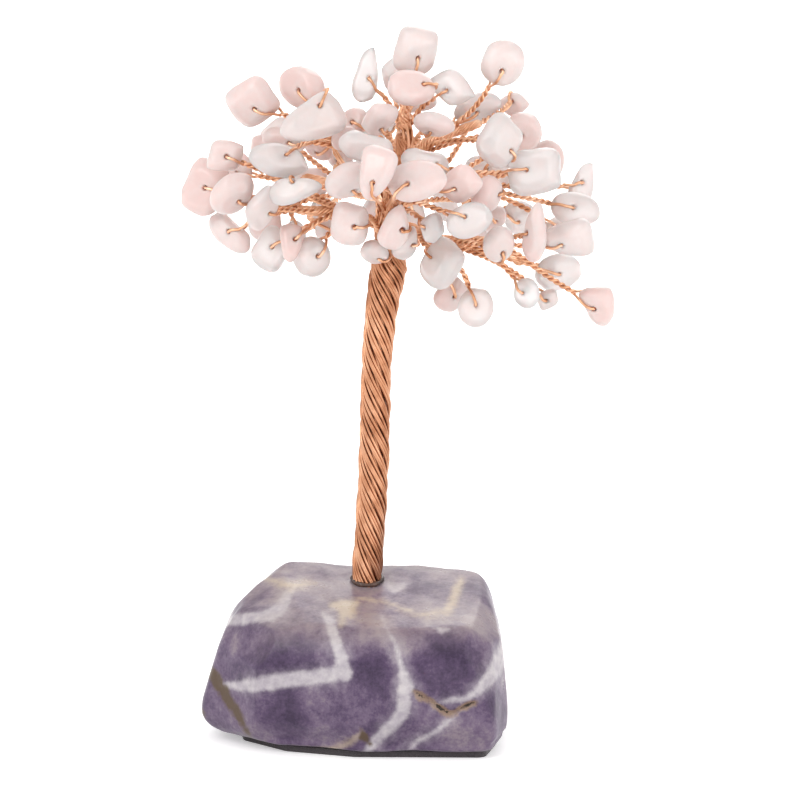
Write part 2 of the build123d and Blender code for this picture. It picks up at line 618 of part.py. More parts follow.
# Trunk: a core of straight wires inside a layer of strands laid round it to the left
trunk_axis = trunk_line()
crown_origin = trunk_axis @ 1
trunk_turns = (TRUNK_LENGTH + SOCKET_DEPTH) / LAY_LENGTH
lay_angle = math.atan(math.pi * (TRUNK_DIAMETER - WIRE_DIAMETER) / LAY_LENGTH)
strand_room = (WIRE_DIAMETER + FIT_GAP) / math.cos(lay_angle)
strand_count = int(math.pi * (TRUNK_DIAMETER - WIRE_DIAMETER) / strand_room)

with BuildPart() as trunk_core:
    for station in range(CORE_STATIONS + 1):
        share = station / CORE_STATIONS
        along = trunk_axis % share
        with BuildSketch(Plane(trunk_axis @ share, along.cross(FRONT), along)):
            Circle(strand_circle_radius(share) - WIRE_RADIUS - LAY_GAP)
    loft()
save(trunk_core.part, "trunk_core")


def strand_place(number, share):
    """Middle of one strand at a share of the trunk's length, straight on past its two ends."""
    within = min(max(share, 0), 1)
    turn = 2 * math.pi * (number / strand_count - share * trunk_turns)
    radius = strand_circle_radius(within)
    beyond = (trunk_axis % within) * (trunk_axis.length * (share - within))
    return trunk_axis @ within + beyond + Vector(radius * math.cos(turn), radius * math.sin(turn), 0)


trunk_strands = []
for number in range(strand_count):
    strand_line = winding_line(
        lambda share: strand_place(number, share), round(trunk_turns * ARCS_PER_TURN)
    )
    trunk_strands.append(wire_tube(strand_line))
save_group(trunk_strands, "trunk_strands")

# Leader: the rope that the boughs part from, and the wire bound round its foot
leader_points = [crown_point(*shares) for shares in LEADER_ROUTE_SHARES]
with BuildLine() as leader_route:
    Spline(
        crown_origin + (trunk_axis % 1) * LAY_GAP,
        *leader_points,
        tangents=[trunk_axis % 1, leader_points[-1] - leader_points[-2]],
    )
leader_axis = leader_route.edge()
save(stepped_rope(leader_axis, leader_radius), "leader_rope")

binding_foot = Plane(leader_axis @ BINDING_PLACE_SHARE, z_dir=leader_axis % BINDING_PLACE_SHARE)
binding_radius = leader_radius(0) + WIRE_RADIUS + BINDING_GAP
binding_rise_share = BINDING_PITCH * BINDING_TURNS / leader_axis.length


def binding_place(share):
    """Middle of the binding wire at a share of its length, round the curve of the leader."""
    turn = 2 * math.pi * BINDING_TURNS * share
    around = binding_foot.x_dir * math.cos(turn) + binding_foot.y_dir * math.sin(turn)
    return leader_axis @ (BINDING_PLACE_SHARE + binding_rise_share * share) + around * binding_radius


binding_line = winding_line(binding_place, BINDING_TURNS * ARCS_PER_TURN)
save(wire_tube(binding_line), "binding_wire")
binding_points = [binding_line @ (n / GAP_POINTS) for n in range(GAP_POINTS + 1)]
half_turn_points = GAP_POINTS // (2 * BINDING_TURNS)
binding_gap = min(
    (binding_points[n] - other).length
    for n in range(GAP_POINTS)
    for other in binding_points[n + half_turn_points:]
) - WIRE_DIAMETER
print(f"least gap of the binding wire to itself: {binding_gap:.2f} mm")


# Boughs, each bending at its root beside the leader
bough_axes = {name: bough_line(name) for name in BOUGH_ROOTS}
for name, axis in bough_axes.items():
    save(stepped_rope(axis, bough_radius), f"{name}_bough")

# Chips on the twigs of each bough, and on twigs that leave the leader itself
all_rows = [row for rows in CHIP_SHARES.values() for row in rows]
all_rows += [row for bough, row in FREE_CHIP_SHARES.values()]
chip_middles = [tuple(crown_point(*row[:3])) for row in all_rows]
carriers = {"inner": (leader_axis, leader_radius)}
carriers |= {name: (axis, bough_radius) for name, axis in bough_axes.items()}
ways_taken = {
    name: [
        tuple(axis @ (n / CLEARANCE_POINTS))
        for bough, axis in bough_axes.items()
        for n in range(CLEARANCE_POINTS + 1)
        if bough != name
    ]
    for name in carriers
}
chip_count = 0
for name, rows in CHIP_SHARES.items():
    axis, radius_at = carriers[name]
    chips = []
    twigs = []
    for row in rows:
        chip, twig, start = chip_on_twig(axis, radius_at, FIT_GAP, row, chip_count, ways_taken[name])
        chips.append(chip)
        twigs.append(twig)
        chip_count += 1
    save_group(chips, f"{name}_chips")
    save_group(twigs, f"{name}_twigs")

# Twigs that bend by themselves at the place where they leave their bough
free_twig_roots = {}
for name, (bough, row) in FREE_CHIP_SHARES.items():
    chip, twig, start = chip_on_twig(
        bough_axes[bough], bough_radius, TWIG_HINGE_GAP, row, chip_count, ways_taken[bough]
    )
    free_twig_roots[name] = start
    chip_count += 1
    save(chip, f"{name}_chip")
    save(twig, f"{name}_twig")

print(f"{strand_count} strands in the trunk and {chip_count} chips in the crown")
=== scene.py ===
# %% [markdown]
# # A gemstone tree in Blender
#
# The object is a small ornament: rose quartz chips wired onto a copper tree that stands in a polished
# block of amethyst. A CAD model gives every place and size, and moves at its hinges. Blender adds
# what makes it look real: laid and twisted wire, tumbled stone, and soft light.
#
# The helpers work in millimetres, because the object is small. Meshes are made in metres, as Blender
# and the CAD frame expect. The noise is seeded once, because vector noise otherwise starts from the
# clock and the stones would come out differently each time.

import json
import math
from collections import deque

import bmesh
import bpy
import numpy as np
from mathutils import Matrix, Vector, noise
from mathutils.bvhtree import BVHTree

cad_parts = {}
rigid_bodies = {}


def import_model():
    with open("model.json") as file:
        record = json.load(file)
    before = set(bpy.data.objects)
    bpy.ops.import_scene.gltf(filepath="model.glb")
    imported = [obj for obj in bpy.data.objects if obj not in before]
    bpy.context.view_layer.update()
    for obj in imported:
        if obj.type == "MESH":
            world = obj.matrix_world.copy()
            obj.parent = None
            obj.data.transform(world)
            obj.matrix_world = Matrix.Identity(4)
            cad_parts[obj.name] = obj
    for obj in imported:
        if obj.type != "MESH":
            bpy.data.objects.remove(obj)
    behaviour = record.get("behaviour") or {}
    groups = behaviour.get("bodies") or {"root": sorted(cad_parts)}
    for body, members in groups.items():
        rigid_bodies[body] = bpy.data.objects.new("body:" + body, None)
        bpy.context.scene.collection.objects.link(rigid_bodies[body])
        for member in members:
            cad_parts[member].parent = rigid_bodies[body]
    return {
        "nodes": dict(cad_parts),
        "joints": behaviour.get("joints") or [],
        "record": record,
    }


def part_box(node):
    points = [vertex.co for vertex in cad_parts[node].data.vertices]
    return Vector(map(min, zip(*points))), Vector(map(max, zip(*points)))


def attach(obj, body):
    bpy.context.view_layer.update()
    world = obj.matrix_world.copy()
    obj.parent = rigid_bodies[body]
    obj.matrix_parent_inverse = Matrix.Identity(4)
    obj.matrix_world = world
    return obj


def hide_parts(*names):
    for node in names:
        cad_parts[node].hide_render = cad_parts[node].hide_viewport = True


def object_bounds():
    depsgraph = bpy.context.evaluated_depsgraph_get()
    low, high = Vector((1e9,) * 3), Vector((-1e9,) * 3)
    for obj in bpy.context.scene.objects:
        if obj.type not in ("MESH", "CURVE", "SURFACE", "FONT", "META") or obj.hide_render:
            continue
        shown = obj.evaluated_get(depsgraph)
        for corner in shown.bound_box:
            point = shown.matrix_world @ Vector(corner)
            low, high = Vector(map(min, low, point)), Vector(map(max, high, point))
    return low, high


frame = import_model()
CAD_BOX = [list(corner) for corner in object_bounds()]
BODIES = frame["record"]["behaviour"]["bodies"]
MM = 0.001
NOISE_SEED = 5
noise.seed_set(NOISE_SEED)
print("CAD nodes:", len(frame["nodes"]), "bodies:", len(BODIES))

# %% [markdown]
# ## Camera
#
# The photograph was taken with a long lens from a little above the tree. A camera over a metre away
# with a narrow view gives the same flat perspective. The view's width sets the scale of the picture,
# so the lens is worked out from it.

# %% Camera
AIM = Vector((7.83, 4.0, 57.8)) * MM
CAMERA_RISE = math.radians(13.0)
CAMERA_DISTANCE = 1.2
VIEW_WIDTH = 136.2 * MM

camera = bpy.data.objects.new("camera", bpy.data.cameras.new("camera"))
bpy.context.collection.objects.link(camera)
camera.location = AIM + Vector((0, -math.cos(CAMERA_RISE), math.sin(CAMERA_RISE))) * CAMERA_DISTANCE
camera.rotation_euler = (math.pi / 2 - CAMERA_RISE, 0, 0)
camera.data.lens = camera.data.sensor_width * CAMERA_DISTANCE / VIEW_WIDTH
camera.data.clip_end = 20.0
bpy.context.scene.camera = camera
bpy.context.scene.view_settings.view_transform = "Standard"
print("camera lens:", round(camera.data.lens, 1), "mm")


# %% [markdown]
# ## Light
#
# The photograph has the even light of a light tent, with the brighter side at the upper left. Three
# large square lamps give soft shadows. They are kept low enough that pale quartz keeps its pink.

# %% Lamps
def soft_lamp(name, place, size, power):
    """A square lamp that looks at the middle of the tree."""
    lamp = bpy.data.lights.new(name, "AREA")
    lamp.size = size
    lamp.energy = power
    lamp_object = bpy.data.objects.new(name, lamp)
    bpy.context.collection.objects.link(lamp_object)
    lamp_object.location = place
    lamp_object.rotation_euler = (AIM - Vector(place)).to_track_quat("-Z", "Y").to_euler()
    print(name, "power:", power)


soft_lamp("key_lamp", (-0.38, -0.42, 0.52), 0.40, 1.55)
soft_lamp("fill_lamp", (0.50, -0.42, 0.22), 0.50, 0.9)
soft_lamp("rim_lamp", (0.15, 0.50, 0.45), 0.40, 1.0)

# %% [markdown]
# The world is the tent: an even, dim white that fills the shadows. Rays that come straight from the
# camera, or by way of metal and clear stone, see a plain white backdrop instead. The Light Path node
# tells which kind of ray is asking, so the white background adds no light to the tree.


# %% World
def seen_rays(tree):
    """1 for rays from the camera and those that metal or clear stone sends on, 0 for the rest."""
    rays = tree.nodes.new("ShaderNodeLightPath")
    total = None
    for kind in ("Is Camera Ray", "Is Glossy Ray", "Is Transmission Ray"):
        if total is None:
            total = rays.outputs[kind]
            continue
        higher = tree.nodes.new("ShaderNodeMath")
        higher.operation = "MAXIMUM"
        tree.links.new(total, higher.inputs[0])
        tree.links.new(rays.outputs[kind], higher.inputs[1])
        total = higher.outputs[0]
    return total


world = bpy.data.worlds.new("light_tent")
bpy.context.scene.world = world
world.use_nodes = True
sky = world.node_tree
sky.nodes.clear()
tent = sky.nodes.new("ShaderNodeBackground")
tent.inputs["Strength"].default_value = 0.95
backdrop = sky.nodes.new("ShaderNodeBackground")
backdrop.inputs["Color"].default_value = (1, 1, 1, 1)
tent.inputs["Color"].default_value = (1.0, 0.985, 0.97, 1)
chooser = sky.nodes.new("ShaderNodeMixShader")
sky_out = sky.nodes.new("ShaderNodeOutputWorld")
sky.links.new(seen_rays(sky), chooser.inputs["Fac"])
sky.links.new(tent.outputs["Background"], chooser.inputs[1])
sky.links.new(backdrop.outputs["Background"], chooser.inputs[2])
sky.links.new(chooser.outputs["Shader"], sky_out.inputs["Surface"])
print("world strength:", tent.inputs["Strength"].default_value)


# %% [markdown]
# ## Helpers for pieces
#
# A finished piece is a mesh with one material that rides on a CAD body and stands for CAD nodes.
# `make_piece` does those steps in one place, so that none is forgotten.

# %% Piece maker
def make_piece(name, mesh, material, body, replaced=()):
    """A smooth object from a mesh in metres, riding on a body."""
    mesh.name = name
    mesh.shade_smooth()
    mesh.materials.clear()
    mesh.materials.append(material)
    piece = bpy.data.objects.new(name, mesh)
    bpy.context.collection.objects.link(piece)
    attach(piece, body)
    if replaced:
        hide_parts(*replaced)
    return piece


# %% [markdown]
# Wire is the main stuff of this tree. A tube could be swept by hand, ring by ring, but a curve with a
# round bevel does that already. `wire_mesh` puts many wires into one curve and turns it into a mesh.
# With a bevel of one millimetre, each point's radius is simply its radius in millimetres.

# %% Wire maker
WIRE_RADIUS = 0.25


def wire_mesh(lines, radii):
    """A mesh of round wires along lines of points in millimetres."""
    curve = bpy.data.curves.new("wires", "CURVE")
    curve.dimensions = "3D"
    curve.bevel_depth = MM
    curve.bevel_resolution = 2
    curve.use_fill_caps = True
    for line, radius in zip(lines, radii):
        spline = curve.splines.new("POLY")
        spline.points.add(len(line) - 1)
        places = np.column_stack([np.asarray(line) * MM, np.ones(len(line))])
        spline.points.foreach_set("co", places.astype(np.float32).ravel())
        spline.points.foreach_set("radius", np.broadcast_to(radius, len(line)).astype(np.float32))
    holder = bpy.data.objects.new("wires", curve)
    mesh = bpy.data.meshes.new_from_object(holder)
    bpy.data.objects.remove(holder)
    bpy.data.curves.remove(curve)
    return mesh


# %% [markdown]
# Laid and twisted wires wind round a middle line. For that each point of the line needs two
# directions across it that do not turn by themselves, so each pair is carried over from the point
# before.

# %% Directions along a line
def unit(vectors):
    """The same vectors with length 1."""
    vectors = np.asarray(vectors, float)
    return vectors / np.maximum(np.linalg.norm(vectors, axis=-1, keepdims=True), 1e-12)


def carried_frames(line):
    """Directions along a line of points, and two directions across it that do not twist."""
    along = unit(np.gradient(line, axis=0))
    across = np.zeros_like(line)
    across[0] = unit(np.cross(along[0], (0.31, 0.87, 0.39)))
    for n in range(1, len(line)):
        across[n] = unit(across[n - 1] - along[n] * across[n - 1].dot(along[n]))
    return along, across, np.cross(along, across)


def runs_along(line):
    """Distance from a line's first point to each of its points."""
    return np.concatenate([[0], np.cumsum(np.linalg.norm(np.diff(line, axis=0), axis=1))])


def resample(line, step):
    """Points at an even step along a line."""
    runs = runs_along(line)
    stations = np.linspace(0, runs[-1], max(3, round(runs[-1] / step) + 1))
    return np.stack([np.interp(stations, runs, line[:, k]) for k in range(3)], 1)


# %% [markdown]
# ## Reading the CAD solids
#
# The CAD nodes hold the true places. `cad_solids` copies a node, merges its loose triangles and splits
# it into connected solids. `centre_line` finds the middle of a wire: each point steps inwards by the
# wire's radius, and a walk over the mesh from one end puts the results in order.

# %% Copies of CAD solids
def cad_solids(name):
    """Each solid of a CAD node as (points in mm, normals, neighbours, faces)."""
    bm = bmesh.new()
    bm.from_mesh(frame["nodes"][name].data)
    bmesh.ops.remove_doubles(bm, verts=bm.verts, dist=1e-7)
    bm.normal_update()
    bm.verts.index_update()
    bm.faces.index_update()
    bm.verts.ensure_lookup_table()
    group = [-1] * len(bm.verts)
    solids = []
    for seed in bm.verts:
        if group[seed.index] >= 0:
            continue
        members = []
        waiting = [seed]
        group[seed.index] = len(solids)
        while waiting:
            vert = waiting.pop()
            members.append(vert)
            for edge in vert.link_edges:
                other = edge.other_vert(vert)
                if group[other.index] < 0:
                    group[other.index] = len(solids)
                    waiting.append(other)
        place = {vert.index: n for n, vert in enumerate(members)}
        points = np.array([vert.co for vert in members]) / MM
        normals = np.array([vert.normal for vert in members])
        neighbours = [[place[e.other_vert(v).index] for e in v.link_edges] for v in members]
        faces = {face.index: face for vert in members for face in vert.link_faces}
        faces = [tuple(place[v.index] for v in faces[n].verts) for n in sorted(faces)]
        solids.append((points, normals, neighbours, faces))
    bm.free()
    return solids


# %% Middle line of a wire
def walk(middles, neighbours, start):
    """Distance along a wire from one point to all others, and the last point reached."""
    reached = np.full(len(middles), -1.0)
    reached[start] = 0
    waiting = deque([start])
    last = start
    while waiting:
        last = waiting.popleft()
        for other in neighbours[last]:
            if reached[other] < 0:
                reached[other] = reached[last] + np.linalg.norm(middles[other] - middles[last])
                waiting.append(other)
    return reached, last


def centre_line(solid, radius, step):
    """Middle line of a wire-shaped solid, from one end to the other."""
    points, normals, neighbours, faces = solid
    middles = points - normals * radius
    reached, far_end = walk(middles, neighbours, 0)
    reached, near_end = walk(middles, neighbours, far_end)
    bins = np.round(reached / step).astype(int)
    count = np.bincount(bins)
    line = np.stack([np.bincount(bins, middles[:, k]) for k in range(3)], 1)
    return resample(line[count > 0] / count[count > 0, None], step)


print("helpers ready")


# %% [markdown]
# ## Helpers for materials
#
# Each material is a small network of nodes round a Principled shader. The helpers make one node each
# and link or set its inputs, so that a network reads as a list of steps.

# %% Material helpers
def new_material(name):
    """A material with an empty Principled shader. Returns the material, its tree and the shader."""
    material = bpy.data.materials.new(name)
    material.use_nodes = True
    tree = material.node_tree
    tree.nodes.clear()
    surface = tree.nodes.new("ShaderNodeBsdfPrincipled")
    out = tree.nodes.new("ShaderNodeOutputMaterial")
    tree.links.new(surface.outputs["BSDF"], out.inputs["Surface"])
    return material, tree, surface


def feed(tree, socket, value):
    """Sets a socket to a number or a colour, or links it to another node's output."""
    if isinstance(value, bpy.types.NodeSocket):
        tree.links.new(value, socket)
    elif isinstance(value, tuple):
        socket.default_value = (*value, 1)
    else:
        socket.default_value = value


def calculate(tree, operation, *values):
    """The output of a Math node."""
    made = tree.nodes.new("ShaderNodeMath")
    made.operation = operation
    for socket, value in zip(made.inputs, values):
        feed(tree, socket, value)
    return made.outputs[0]


def ramp(tree, value, *stops):
    """A colour ramp from (place, colour) stops. A single number stands for a grey."""
    made = tree.nodes.new("ShaderNodeValToRGB")
    elements = made.color_ramp.elements
    while len(elements) < len(stops):
        elements.new(0.5)
    for element, (place, colour) in zip(elements, stops):
        element.position = place
        element.color = (*colour, 1) if isinstance(colour, tuple) else (colour, colour, colour, 1)
    tree.links.new(value, made.inputs["Fac"])
    return made.outputs["Color"]


def mix_colour(tree, share, first, second):
    """Two colours mixed by a share."""
    made = tree.nodes.new("ShaderNodeMix")
    made.data_type = "RGBA"
    for socket, value in zip((made.inputs[0], made.inputs[6], made.inputs[7]), (share, first, second)):
        feed(tree, socket, value)
    return made.outputs[2]


def grain(tree, scale, detail=3.0, roughness=0.5, tall=1.0):
    """Noise over the object's own coordinates. The scale is in waves per metre. Tall noise is drawn out upwards."""
    where = tree.nodes.new("ShaderNodeTexCoord")
    drawn = tree.nodes.new("ShaderNodeMapping")
    drawn.inputs["Scale"].default_value = (1, 1, 1 / tall)
    made = tree.nodes.new("ShaderNodeTexNoise")
    tree.links.new(where.outputs["Object"], drawn.inputs["Vector"])
    tree.links.new(drawn.outputs["Vector"], made.inputs["Vector"])
    made.inputs["Scale"].default_value = scale
    made.inputs["Detail"].default_value = detail
    made.inputs["Roughness"].default_value = roughness
    return made.outputs["Fac"]


def painted(tree, name):
    """A number that the mesh carries at each of its points."""
    made = tree.nodes.new("ShaderNodeAttribute")
    made.attribute_name = name
    return made.outputs["Fac"]


def between(tree, value, low, high):
    """0 at low, 1 at high, and smooth between them."""
    made = tree.nodes.new("ShaderNodeMapRange")
    made.interpolation_type = "SMOOTHSTEP"
    tree.links.new(value, made.inputs["Value"])
    made.inputs["From Min"].default_value = low
    made.inputs["From Max"].default_value = high
    return made.outputs["Result"]


def relief(tree, surface, height, strength, depth):
    """Fine bumps on a surface, with a depth in millimetres."""
    bump = tree.nodes.new("ShaderNodeBump")
    tree.links.new(height, bump.inputs["Height"])
    bump.inputs["Strength"].default_value = strength
    bump.inputs["Distance"].default_value = depth * MM
    tree.links.new(bump.outputs["Normal"], surface.inputs["Normal"])


# %% [markdown]
# ## Copper
#
# Copper is a metal, so its colour is the colour of its reflections. Handled wire is not even: some
# stretches are bright and others dull and brown. Broad noise mixes the two, in colour and in
# roughness, and fine noise gives the faint marks of drawing. The thin wires of the crown are handled
# less than the trunk, and are brighter.

# %% Copper
def copper_finish(name, *tones):
    """Copper wire with a dull, a middle and a bright tone."""
    material, tree, surface = new_material(name)
    tarnish = grain(tree, 300.0, 4.0)
    colour = ramp(tree, tarnish, *zip((0.30, 0.52, 0.72), tones))
    tree.links.new(colour, surface.inputs["Base Color"])
    tree.links.new(ramp(tree, tarnish, (0.3, 0.46), (0.7, 0.30)), surface.inputs["Roughness"])
    surface.inputs["Metallic"].default_value = 1.0
    relief(tree, surface, grain(tree, 2600.0, 2.0), 0.12, 0.04)
    return material


copper = copper_finish("copper_wire", (0.39, 0.16, 0.08), (0.575, 0.28, 0.158), (0.71, 0.39, 0.24))
fine_copper = copper_finish("fine_copper_wire", (0.54, 0.25, 0.13), (0.80, 0.46, 0.285), (0.95, 0.65, 0.47))

# %% [markdown]
# ## Rose quartz
#
# Tumbled rose quartz is cloudy. Light goes in, scatters and comes out pink, so subsurface scattering
# does most of the work. Some transmission lets the wire and the chips behind shimmer through. Every
# chip carries a `tint` number: low is milky pink, high is clear and pale, as in the photograph.

# %% Rose quartz
rose_quartz, tree, surface = new_material("rose_quartz")
cloud = grain(tree, 240.0, 4.0, 0.6)
clearness = calculate(tree, "ADD", cloud, calculate(tree, "SUBTRACT", painted(tree, "tint"), 0.5))
quartz_colour = ramp(
    tree, clearness, (0.05, (0.83, 0.645, 0.615)), (0.45, (0.86, 0.755, 0.735)), (0.9, (0.89, 0.85, 0.845))
)
tree.links.new(quartz_colour, surface.inputs["Base Color"])
tree.links.new(ramp(tree, clearness, (0.15, 0.16), (0.95, 0.52)), surface.inputs["Transmission Weight"])
tree.links.new(ramp(tree, cloud, (0.3, 0.28), (0.7, 0.40)), surface.inputs["Roughness"])
surface.inputs["IOR"].default_value = 1.54
surface.inputs["Subsurface Weight"].default_value = 0.5
surface.inputs["Subsurface Radius"].default_value = (1.0, 0.60, 0.56)
surface.inputs["Subsurface Scale"].default_value = 1.6 * MM
surface.inputs["Coat Weight"].default_value = 0.4
surface.inputs["Coat Roughness"].default_value = 0.1
relief(tree, surface, grain(tree, 800.0, 3.0), 0.12, 0.15)

# %% [markdown]
# ## Glue and felt
#
# The trunk is set in a dark resin, which shows as a thin glossy rim. Under the stone is a felt pad, of
# which only the edge shows: dark cloth with a fine fibre relief and a little sheen.

# %% Glue and felt
glue, tree, surface = new_material("hardened_glue")
resin = grain(tree, 900.0)
resin_colour = ramp(tree, resin, (0.35, (0.040, 0.022, 0.018)), (0.7, (0.14, 0.075, 0.055)))
tree.links.new(resin_colour, surface.inputs["Base Color"])
surface.inputs["Roughness"].default_value = 0.22
relief(tree, surface, resin, 0.5, 0.25)

felt, tree, surface = new_material("felt")
fibre = grain(tree, 5000.0, 5.0, 0.7)
felt_colour = ramp(tree, fibre, (0.3, (0.03, 0.025, 0.03)), (0.75, (0.11, 0.095, 0.10)))
tree.links.new(felt_colour, surface.inputs["Base Color"])
surface.inputs["Roughness"].default_value = 0.95
surface.inputs["Sheen Weight"].default_value = 0.4
relief(tree, surface, fibre, 0.8, 0.2)
print("materials so far:", [material.name for material in bpy.data.materials])

# %% [markdown]
# ## CAD nodes that keep their shape
#
# The core inside the trunk, the binding wire and the pad are right as they are, and only get a
# material.

# %% Dress the kept nodes
for name, material in (("trunk_core", copper), ("binding_wire", copper), ("felt_pad", felt)):
    mesh = frame["nodes"][name].data
    mesh.materials.clear()
    mesh.materials.append(material)
    print("dressed:", name)


# %% [markdown]
# ## Tumbled chips
#
# A real chip is a splinter of quartz that a tumbler has worn smooth. It keeps a few flat places from
# the break and soft dents between them. The CAD chip is a plain lens with a drilled hole, so it is
# copied and given an even net of faces by a voxel remesh, which fine changes need. It is grown a little
# about its middle, the back chips less, and kept inside the box of the whole CAD model. Then it is
# ground: flats are cut by pressing points back to a plane, and noise makes the dents, which go inwards.

# %% Remesh
def remeshed(points, faces, voxel, plug=None):
    """A bmesh in metres of a solid after an even voxel remesh, joined with a plug where one is given."""
    mesh = bpy.data.meshes.new("raw")
    mesh.from_pydata((points * MM).tolist(), [], faces)
    if plug:
        bm = bmesh.new()
        bm.from_mesh(mesh)
        bmesh.ops.create_cone(bm, cap_ends=True, segments=48, **plug)
        bm.to_mesh(mesh)
        bm.free()
    raw = bpy.data.objects.new("raw", mesh)
    bpy.context.collection.objects.link(raw)
    grid = raw.modifiers.new("grid", "REMESH")
    grid.mode = "VOXEL"
    grid.voxel_size = voxel * MM
    even = bpy.data.meshes.new_from_object(raw.evaluated_get(bpy.context.evaluated_depsgraph_get()))
    bm = bmesh.new()
    bm.from_mesh(even)
    bpy.data.objects.remove(raw)
    bpy.data.meshes.remove(mesh)
    bpy.data.meshes.remove(even)
    return bm


def soften(bm, rounds):
    """Smooths a bmesh a number of times."""
    for _ in range(rounds):
        bmesh.ops.smooth_vert(
            bm, verts=bm.verts, factor=0.5, use_axis_x=True, use_axis_y=True, use_axis_z=True
        )
    bm.normal_update()


# %% Grind one chip
CHIP_VOXEL = 0.26
CHIP_GROWTH = 1.07
BACK_GROWTH = 1.01
FLATS = 6


def tumbled(solid, number, growth):
    """A tumbled chip as a bmesh in metres, from a CAD chip."""
    points, normals, neighbours, faces = solid
    middle = Vector(points.mean(0) * MM)
    seed = Vector((number * 7.31, number * 3.77, number * 1.93))
    bm = remeshed(points, faces, CHIP_VOXEL)
    soften(bm, 1)
    for vert in bm.verts:
        grown = middle + (vert.co - middle) * growth
        vert.co = [min(max(x, low), high) for x, low, high in zip(grown, *CAD_BOX)]
    for k in range(FLATS):
        way = noise.noise_vector(seed * (k + 1.7)).normalized()
        limit = max((vert.co - middle).dot(way) for vert in bm.verts) * (0.90 + 0.018 * k)
        for vert in bm.verts:
            over = (vert.co - middle).dot(way) - limit
            if over > 0:
                vert.co -= way * over * 0.8
    soften(bm, 2)
    for vert in bm.verts:
        broad = noise.noise(vert.co / (3.0 * MM) + seed)
        fine = noise.noise(vert.co / (1.1 * MM) + seed)
        vert.co -= vert.normal * (max(0.0, 0.03 + 0.13 * broad + 0.04 * fine) * MM)
    bm.normal_update()
    return bm


# %% [markdown]
# The chips of one bough become one object. Each chip's tint is drawn from noise at its own number, so
# the same tree comes out on every run. Now and then a chip is almost clear.

# %% Make the chips
def chip_tint(number):
    """How clear one chip is, from 0, milky pink, to about 1, clear."""
    tint = 0.42 + 0.75 * noise.noise(Vector((number * 5.13, 2.2, 7.7)))
    return 0.98 if number % 9 == 4 else min(max(tint, 0.05), 0.85)


chip_surfaces = []
chip_middles = []
chip_nodes = [(node, body) for body, nodes in BODIES.items() for node in nodes if "_chip" in node]
for node, body in chip_nodes:
    joined = bmesh.new()
    tint_layer = joined.verts.layers.float.new("tint")
    growth = BACK_GROWTH if body.startswith("back") else CHIP_GROWTH
    for solid in cad_solids(node):
        chip = tumbled(solid, len(chip_surfaces), growth)
        placed = {vert: joined.verts.new(vert.co) for vert in chip.verts}
        for vert in placed.values():
            vert[tint_layer] = chip_tint(len(chip_surfaces))
        for face in chip.faces:
            joined.faces.new([placed[vert] for vert in face.verts])
        chip_surfaces.append(BVHTree.FromBMesh(chip))
        chip_middles.append(solid[0].mean(0))
        chip.free()
    mesh = bpy.data.meshes.new(node)
    joined.to_mesh(mesh)
    joined.free()
    make_piece(node + "_tumbled", mesh, rose_quartz, body, [node])
chip_middles = np.array(chip_middles)
print("chips:", len(chip_middles))

# %% [markdown]
# ## The trunk
#
# The trunk is a thick rope of the tree's wires, laid to the left. The wires do not lie evenly: they
# keep together in bundles, with dark grooves between them, and they lie flatter where the trunk widens
# to the boughs. The CAD strands give the trunk's middle line: a smooth curve fitted through all their
# points is the line that they wind round.

# %% Trunk line
strand_points = np.concatenate([solid[0] for solid in cad_solids("trunk_strands")])
TRUNK_HEAD = strand_points[:, 2].max()
GLUE_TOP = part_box("epoxy_collar")[1][2] / MM
trunk_heights = np.arange(GLUE_TOP - 3.0, TRUNK_HEAD + 2.0, 0.3)
trunk_line = np.stack(
    [np.polyval(np.polyfit(strand_points[:, 2], strand_points[:, k], 6), trunk_heights) for k in range(2)]
    + [trunk_heights],
    1,
)
print("trunk from", round(float(trunk_heights[0]), 1), "to", round(float(TRUNK_HEAD), 1), "mm")

# %% Bundles of strands
BUNDLES = (4, 3, 5, 4, 3, 5)
TRUNK_WIRE = 0.27
TRUNK_LAY = 27.0
HEAD_LAY = 17.0

swell = np.clip((trunk_heights - (TRUNK_HEAD - 19.0)) / 19.0, 0, 1)
ending = np.clip((trunk_heights - (TRUNK_HEAD - 1.2)) / 2.8, 0, 1)
ending = ending**2 * (3 - 2 * ending)
lay_radius = (2.26 + 0.62 * swell**2) * (1 - ending) + 1.95 * ending
lay_turn = np.cumsum(0.3 / (TRUNK_LAY + (HEAD_LAY - TRUNK_LAY) * swell**2))
along, across, over = carried_frames(trunk_line)
strand_lines = []
for bundle, size in enumerate(BUNDLES):
    for n in range(size):
        aside = (2 * n + 1) / size - 1
        number = len(strand_lines)
        place = (sum(BUNDLES[:bundle]) + size / 2) / sum(BUNDLES) + aside * size * 0.0193
        sway = 0.012 * np.sin(trunk_heights / 7.0 + 1.9 * number)
        turn = 2 * math.pi * (place - lay_turn + sway)
        bulge = 0.10 - 0.26 * aside**2 + 0.07 * np.sin(trunk_heights / 5.5 + 2.4 * bundle)
        out = np.cos(turn)[:, None] * across + np.sin(turn)[:, None] * over
        strand_lines.append(trunk_line + out * (lay_radius + bulge * (1 - ending))[:, None])
make_piece(
    "trunk_bundles", wire_mesh(strand_lines, [TRUNK_WIRE] * len(strand_lines)), copper, "trunk",
    ["trunk_strands"],
)
print("trunk wires:", len(strand_lines))


# %% [markdown]
# ## Leader and boughs
#
# Above the trunk the wires part into ropes. `rope` lays strands round a middle line, with a thick wire
# inside so that no light shows through. The leader goes on up from the trunk's head.

